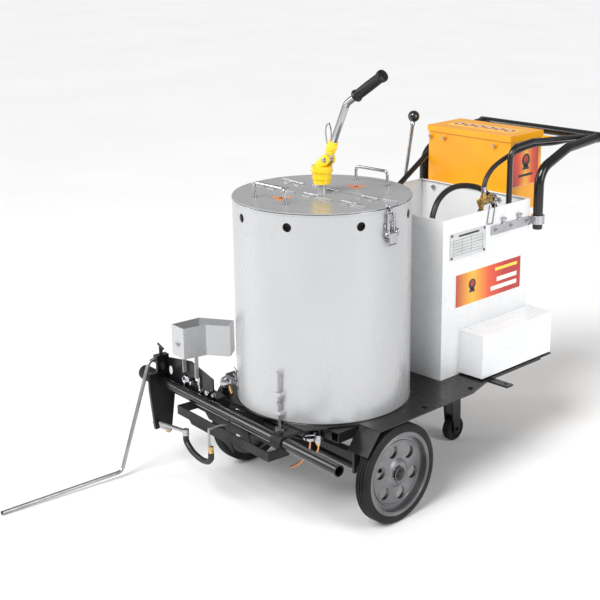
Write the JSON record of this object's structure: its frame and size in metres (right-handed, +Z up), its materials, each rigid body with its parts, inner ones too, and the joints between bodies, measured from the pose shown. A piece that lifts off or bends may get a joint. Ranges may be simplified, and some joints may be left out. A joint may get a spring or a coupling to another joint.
{
  "type": "line striping machine",
  "caption": "Hand-pushed road line striping machine: heated kettle with stirrer, gas box, bead hopper, marking shoe on a lift lever, guide rod and push handle.",
  "frame": {"origin": "on the ground, under the middle of the whole machine", "axes": "+Z up, -Y the direction of travel, +X the left side of the machine"},
  "size_m": [0.9702, 1.9282, 1.2908],
  "materials": {
    "black_paint": "satin",
    "kettle_paint": "satin",
    "white_paint": "satin",
    "orange_paint": "satin",
    "cast_iron": "satin",
    "tyre": "matte",
    "chrome": "polished",
    "steel": "brushed",
    "black_plastic": "gloss",
    "grip_rubber": "satin",
    "hose_rubber": "matte",
    "brass": "satin",
    "copper": "satin",
    "yellow_paint": "gloss",
    "label_film": "gloss"
  },
  "bodies": {
    "chassis": {"deck_plate": "black_paint", "side_rails": "black_paint", "cross_members": "black_paint", "axle_beam": "black_paint", "axle": "steel", "caster_bracket": "black_paint", "kettle_jacket": "kettle_paint", "inner_pot": "steel", "burner_ring": "black_paint", "lid_bridge": "kettle_paint", "lid_hinges": "kettle_paint", "latch_base": "chrome", "chute": "kettle_paint", "gas_box": "white_paint", "side_box": "white_paint", "bead_hopper": "orange_paint", "handle_posts": "black_paint", "handle_crossbar": "black_paint", "brace_tubes": "black_paint", "handle_clamps": "steel", "brass_valve": "brass", "gas_hoses": "hose_rubber", "burner_hose": "hose_rubber", "slide_tube": "black_paint", "slide_sleeve": "cast_iron", "end_bracket": "black_paint", "front_plate": "black_paint", "lever_bracket": "black_paint", "burner_pipe": "chrome", "copper_loop": "copper", "label_plates": "label_film", "fasteners": "chrome"},
    "wheel_left": {"rim_left": "cast_iron", "tyre_left": "tyre"},
    "wheel_right": {"rim_right": "cast_iron", "tyre_right": "tyre"},
    "caster_fork": {"caster_fork": "black_paint"},
    "caster_wheel": {"caster_wheel": "tyre"},
    "brake_pedal": {"brake_pedal": "black_paint"},
    "lid_front": {"lid_front": "kettle_paint", "lid_handle_front": "chrome"},
    "lid_rear": {"lid_rear": "kettle_paint", "lid_handle_rear": "chrome"},
    "latch_lever": {"latch_lever": "chrome"},
    "stirrer": {"stirrer_shaft": "steel", "stirrer_socket": "yellow_paint"},
    "stirrer_handle": {"stirrer_tube": "chrome", "stirrer_grip": "grip_rubber"},
    "gate": {"gate": "steel"},
    "side_box_lid": {"side_box_lid": "white_paint"},
    "hopper_lid": {"hopper_lid": "orange_paint"},
    "squeeze_lever": {"squeeze_lever": "orange_paint"},
    "valve_knob": {"valve_knob": "chrome"},
    "guide_rod": {"guide_rod": "steel"},
    "lift_lever": {"lift_lever": "chrome", "lever_knob": "black_plastic"},
    "link_rod": {"link_rod": "steel"},
    "rock_shaft": {"rock_shaft": "black_paint"},
    "shoe": {"shoe_box": "black_paint", "shoe_blade": "black_paint"}
  },
  "joints": [
    {"name": "wheel_left_spin", "type": "hinge", "parent": "chassis", "child": "wheel_left", "pos_m": [0.40087, -0.17088, 0.15], "axis": [1, 0, 0], "continuous": true},
    {"name": "wheel_right_spin", "type": "hinge", "parent": "chassis", "child": "wheel_right", "pos_m": [-0.22213, -0.17088, 0.15], "axis": [1, 0, 0], "continuous": true},
    {"name": "caster_swivel", "type": "hinge", "parent": "chassis", "child": "caster_fork", "pos_m": [0.14937, 0.37012, 0.265], "axis": [0, 0, 1], "continuous": true},
    {"name": "caster_roll", "type": "hinge", "parent": "caster_fork", "child": "caster_wheel", "pos_m": [0.14937, 0.39612, 0.04], "axis": [1, 0, 0], "continuous": true},
    {"name": "brake_pedal_press", "type": "hinge", "parent": "chassis", "child": "brake_pedal", "pos_m": [0.14937, 0.32412, 0.267], "axis": [1, 0, 0], "range_deg": [0, 10], "stiffness_Nm_per_rad": 6, "springref_deg": -8.59},
    {"name": "lid_front_hinge", "type": "hinge", "parent": "chassis", "child": "lid_front", "pos_m": [0.08937, -0.19188, 0.924], "axis": [-1, 0, 0], "range_deg": [0, 75]},
    {"name": "lid_rear_hinge", "type": "hinge", "parent": "chassis", "child": "lid_rear", "pos_m": [0.08937, -0.10788, 0.924], "axis": [1, 0, 0], "range_deg": [0, 75]},
    {"name": "latch_open", "type": "hinge", "parent": "chassis", "child": "latch_lever", "pos_m": [0.35932, -0.14517, 0.847], "axis": [0.0175, -0.9998, 0], "range_deg": [0, 110]},
    {"name": "stirrer_spin", "type": "hinge", "parent": "chassis", "child": "stirrer", "pos_m": [0.08937, -0.14988, 0.5], "axis": [0, 0, 1], "continuous": true},
    {"name": "stirrer_tilt", "type": "hinge", "parent": "stirrer", "child": "stirrer_handle", "pos_m": [0.11537, -0.14988, 1.0235], "axis": [0, 1, 0], "range_deg": [-20, 35]},
    {"name": "gate_lift", "type": "slide", "parent": "chassis", "child": "gate", "axis": [0, 0, 1], "range_m": [0, 0.019]},
    {"name": "side_box_lid_hinge", "type": "hinge", "parent": "chassis", "child": "side_box_lid", "pos_m": [0.28987, 0.42712, 0.4503], "axis": [0, -1, 0], "range_deg": [0, 80]},
    {"name": "hopper_lid_hinge", "type": "hinge", "parent": "chassis", "child": "hopper_lid", "pos_m": [0.02737, 0.77092, 0.983], "axis": [-1, 0, 0], "range_deg": [0, 95]},
    {"name": "squeeze_lever_pull", "type": "hinge", "parent": "chassis", "child": "squeeze_lever", "pos_m": [0.21537, 0.92012, 0.942], "axis": [0, 1, 0], "range_deg": [0, 12], "stiffness_Nm_per_rad": 3, "springref_deg": -17.19},
    {"name": "valve_turn", "type": "hinge", "parent": "chassis", "child": "valve_knob", "pos_m": [0.25237, 0.39512, 0.831], "axis": [0, 1, 0], "range_deg": [0, 270]},
    {"name": "guide_rod_swing", "type": "hinge", "parent": "chassis", "child": "guide_rod", "pos_m": [-0.38635, -0.40024, 0.359], "axis": [0.0976, 0.9952, 0], "range_deg": [0, 150]},
    {"name": "lift_lever_swing", "type": "hinge", "parent": "chassis", "child": "lift_lever", "pos_m": [-0.20663, 0.42912, 0.24], "axis": [1, 0, 0], "range_deg": [0, 62]},
    {"name": "link_rod_turn", "type": "hinge", "parent": "lift_lever", "child": "link_rod", "pos_m": [-0.17863, 0.42912, 0.285], "axis": [1, 0, 0], "range_deg": [-62, 0]},
    {"name": "rock_shaft_turn", "type": "hinge", "parent": "chassis", "child": "rock_shaft", "pos_m": [0.11074, -0.22892, 0.165], "axis": [0.9952, -0.0976, 0], "range_deg": [0, 62]},
    {"name": "shoe_level", "type": "hinge", "parent": "rock_shaft", "child": "shoe", "pos_m": [0.09454, -0.39413, 0.252], "axis": [0.9952, -0.0976, 0], "range_deg": [-62, 0]}
  ],
  "couplings": [
    {"joint": "link_rod_turn", "follows": "lift_lever_swing", "ratio": -1},
    {"joint": "rock_shaft_turn", "follows": "lift_lever_swing", "ratio": 1},
    {"joint": "shoe_level", "follows": "lift_lever_swing", "ratio": -1}
  ]
}
